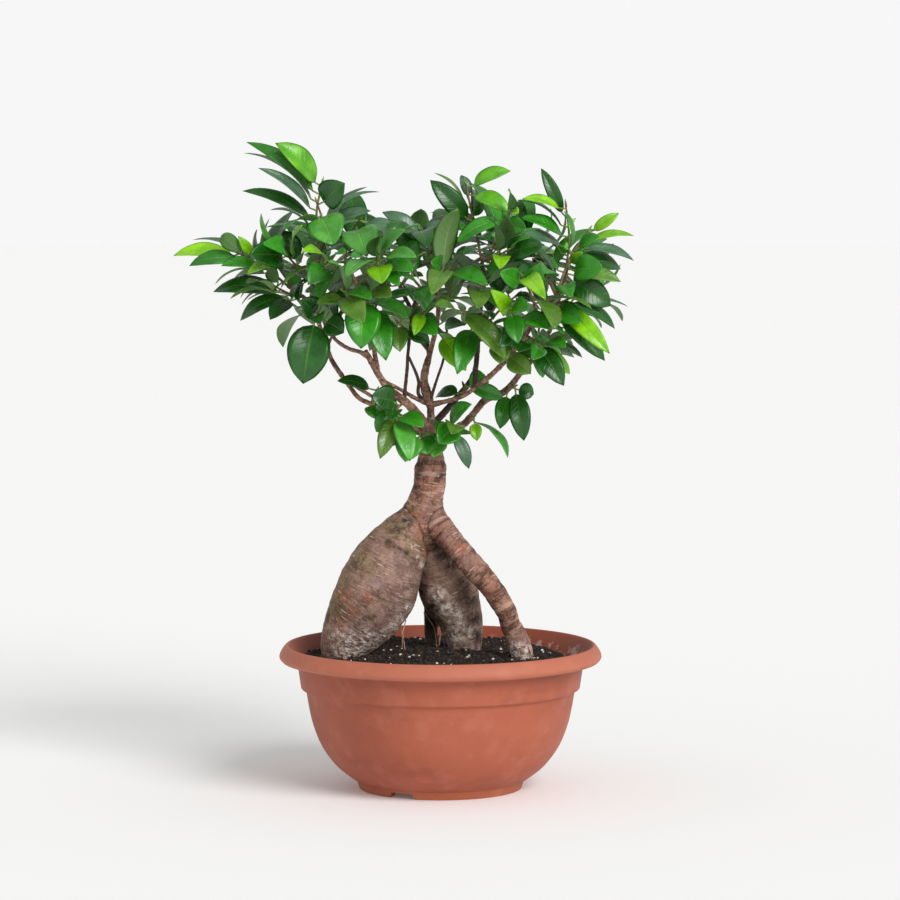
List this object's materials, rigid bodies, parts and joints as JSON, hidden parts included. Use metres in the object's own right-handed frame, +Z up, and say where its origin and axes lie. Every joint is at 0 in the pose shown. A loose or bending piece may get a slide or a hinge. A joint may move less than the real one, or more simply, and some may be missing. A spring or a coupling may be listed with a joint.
{
  "type": "ficus ginseng bonsai",
  "caption": "Ginseng ficus bonsai with swollen roots, a short trunk and a wide crown of glossy oval leaves, in a round terracotta-coloured bowl of soil.",
  "frame": {"origin": "on the ground, under the middle of the whole plant's box", "axes": "+Z up, -Y towards the side that the picture shows, +X to the right of someone looking at that side"},
  "size_m": [0.4004, 0.3418, 0.5623],
  "materials": {
    "pot": "matte",
    "soil": "matte",
    "bark": "matte",
    "leaf": "satin"
  },
  "bodies": {
    "root": {"pot": "pot", "soil": "soil", "wood": "bark", "leafy_twig_upper_left": "leaf", "leafy_twig_upper_left_right_side": "leaf", "leafy_twig_upper_middle_left": "leaf", "leafy_twig_left_arm": "leaf", "leafy_twig_left_middle": "leaf", "leafy_twig_left_low": "leaf", "leafy_twig_left_hanging": "leaf", "leafy_twig_front_left": "leaf", "leafy_twig_top_middle": "leaf", "leafy_twig_middle_left": "leaf", "leafy_twig_peak": "leaf", "leafy_twig_peak_right": "leaf", "leafy_twig_right_top": "leaf", "leafy_twig_right_arm": "leaf", "leafy_twig_right_side": "leaf", "leafy_twig_right_low": "leaf", "leafy_twig_lower_right_hanging": "leaf", "leafy_twig_right_upper_branch": "leaf", "leafy_twig_right_lower_spray": "leaf", "leafy_twig_low_left": "leaf", "leafy_twig_trunk_top_left": "leaf", "leafy_twig_trunk_top_right": "leaf", "leafy_twig_low_right": "leaf", "leafy_twig_left_lower_branch": "leaf", "leafy_twig_along_the_right_branch": "leaf", "leafy_twig_centre_bright": "leaf", "leafy_twig_centre": "leaf", "leafy_twig_centre_left": "leaf", "leafy_twig_front_middle_left": "leaf", "leafy_twig_front_middle": "leaf", "leafy_twig_front_centre_right": "leaf", "leafy_twig_front_right_low": "leaf", "leafy_twig_front_right": "leaf", "leafy_twig_front_right_high": "leaf", "leafy_twig_front_upper_left": "leaf", "leafy_twig_front_low_left": "leaf", "leafy_twig_front_centre_low": "leaf", "leafy_twig_back_left_high": "leaf", "leafy_twig_back_middle_high": "leaf", "leafy_twig_back_middle": "leaf", "leafy_twig_back_left_low": "leaf", "leafy_twig_back_right_high": "leaf", "leafy_twig_back_right": "leaf", "leafy_twig_back_right_low": "leaf", "leafy_twig_far_right": "leaf", "leafy_twig_right_behind": "leaf", "leafy_twig_far_left_low": "leaf", "leafy_twig_far_left_high": "leaf", "leafy_twig_top_behind": "leaf", "leafy_twig_upper_left_behind": "leaf", "leafy_twig_inner_left": "leaf", "leafy_twig_inner_middle": "leaf", "leafy_twig_inner_right": "leaf", "leafy_twig_inner_right_side": "leaf", "leafy_twig_inner_left_side": "leaf", "leafy_twig_upper_right_front": "leaf", "leafy_twig_middle_right_behind": "leaf"}
  },
  "joints": []
}
